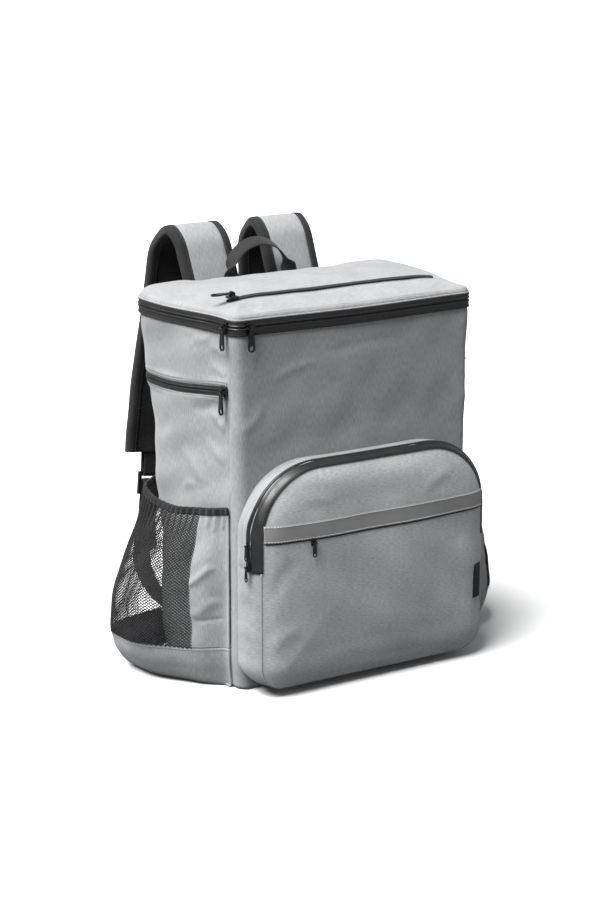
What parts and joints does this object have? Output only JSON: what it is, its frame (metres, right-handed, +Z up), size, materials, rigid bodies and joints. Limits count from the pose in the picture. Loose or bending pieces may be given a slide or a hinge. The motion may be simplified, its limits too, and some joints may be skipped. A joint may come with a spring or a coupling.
{
  "type": "insulated backpack",
  "caption": "Grey insulated cooler backpack with a zipped lid, domed front pocket, net side pockets, padded straps, a carrying loop and swinging zip pulls.",
  "frame": {"origin": "middle of the flat foot of the body, on the floor", "axes": "+Z up, the front pocket faces -Y and the wearer's back lies at +Y"},
  "size_m": [0.4926, 0.3796, 0.4907],
  "materials": {
    "heather_fabric": "woven heather polyester, matte",
    "zip_tape": "coated zip tape, satin",
    "spacer_mesh": "spacer mesh, matte",
    "net": "knitted net, matte",
    "binding": "ribbed binding tape, matte",
    "webbing": "woven webbing, matte",
    "reflective_tape": "grey reflective tape, satin",
    "woven_label": "woven, blank",
    "buckle_plastic": "moulded, satin",
    "zip_metal": "black lacquer, glossy"
  },
  "bodies": {
    "bag": {"front_panel": "heather_fabric", "side_panel_lower_left": "heather_fabric", "side_panel_lower_right": "heather_fabric", "side_panel_upper_left": "heather_fabric", "side_panel_upper_right": "heather_fabric", "base_panel": "heather_fabric", "lid": "heather_fabric", "pocket_gusset_upper": "heather_fabric", "pocket_gusset_lower": "heather_fabric", "pocket_face": "heather_fabric", "side_pocket_base_left": "heather_fabric", "side_pocket_base_right": "heather_fabric", "side_pocket_panel_left": "heather_fabric", "side_pocket_panel_right": "heather_fabric", "strap_face_left": "heather_fabric", "strap_face_right": "heather_fabric", "side_zip_tape_left": "zip_tape", "side_zip_tape_right": "zip_tape", "main_zip_tape_lower": "zip_tape", "main_zip_tape_upper": "zip_tape", "lid_zip_tape": "zip_tape", "pocket_zip_tape": "zip_tape", "back_panel": "spacer_mesh", "strap_pad_left": "spacer_mesh", "strap_pad_right": "spacer_mesh", "side_pocket_net_left": "net", "side_pocket_net_right": "net", "side_pocket_binding_left": "binding", "side_pocket_binding_right": "binding", "strap_edge_outer_left": "binding", "strap_edge_outer_right": "binding", "strap_edge_inner_left": "binding", "strap_edge_inner_right": "binding", "strap_tab_left": "webbing", "strap_tab_right": "webbing", "lower_webbing_left": "webbing", "lower_webbing_right": "webbing", "carry_loop": "webbing", "reflective_strip": "reflective_tape", "label": "woven_label", "buckle_left": "buckle_plastic", "buckle_right": "buckle_plastic", "main_zip_front_slider": "zip_metal", "main_zip_side_slider": "zip_metal", "side_zip_left_slider": "zip_metal", "side_zip_right_slider": "zip_metal", "lid_zip_slider": "zip_metal", "pocket_zip_low_slider": "zip_metal", "pocket_zip_high_slider": "zip_metal", "face_zip_slider": "zip_metal"},
    "face_zip_pull": {"face_zip_pull": "zip_metal"},
    "lid_zip_pull": {"lid_zip_pull": "zip_metal"},
    "main_zip_front_pull": {"main_zip_front_pull": "zip_metal"},
    "main_zip_side_pull": {"main_zip_side_pull": "zip_metal"},
    "pocket_zip_high_pull": {"pocket_zip_high_pull": "zip_metal"},
    "pocket_zip_low_pull": {"pocket_zip_low_pull": "zip_metal"},
    "side_zip_left_pull": {"side_zip_left_pull": "zip_metal"},
    "side_zip_right_pull": {"side_zip_right_pull": "zip_metal"}
  },
  "joints": [
    {"name": "face_zip_pull_swing", "type": "hinge", "parent": "bag", "child": "face_zip_pull", "pos_m": [-0.091, -0.15791, 0.18099], "axis": [1, 0, 0], "range_deg": [-160, 0]},
    {"name": "lid_zip_pull_swing", "type": "hinge", "parent": "bag", "child": "lid_zip_pull", "pos_m": [-0.1325, -0.0515, 0.4496], "axis": [0, -1, 0], "range_deg": [-160, 0]},
    {"name": "main_zip_front_pull_swing", "type": "hinge", "parent": "bag", "child": "main_zip_front_pull", "pos_m": [-0.1424, -0.10908, 0.4211], "axis": [1, 0, 0], "range_deg": [-160, 0]},
    {"name": "main_zip_side_pull_swing", "type": "hinge", "parent": "bag", "child": "main_zip_side_pull", "pos_m": [-0.1665, -0.0861, 0.4211], "axis": [0, -1, 0], "range_deg": [-160, 0]},
    {"name": "pocket_zip_high_pull_swing", "type": "hinge", "parent": "bag", "child": "pocket_zip_high_pull", "pos_m": [-0.16307, -0.12873, 0.1806], "axis": [0, -1, 0], "range_deg": [-160, 0]},
    {"name": "pocket_zip_low_pull_swing", "type": "hinge", "parent": "bag", "child": "pocket_zip_low_pull", "pos_m": [-0.16307, -0.12873, 0.1561], "axis": [0, -1, 0], "range_deg": [-160, 0]},
    {"name": "side_zip_left_pull_swing", "type": "hinge", "parent": "bag", "child": "side_zip_left_pull", "pos_m": [-0.16485, -0.0799, 0.347], "axis": [0, -1, 0], "range_deg": [-160, 0]},
    {"name": "side_zip_right_pull_swing", "type": "hinge", "parent": "bag", "child": "side_zip_right_pull", "pos_m": [0.16485, -0.0799, 0.347], "axis": [0, 1, 0], "range_deg": [-160, 0]}
  ]
}
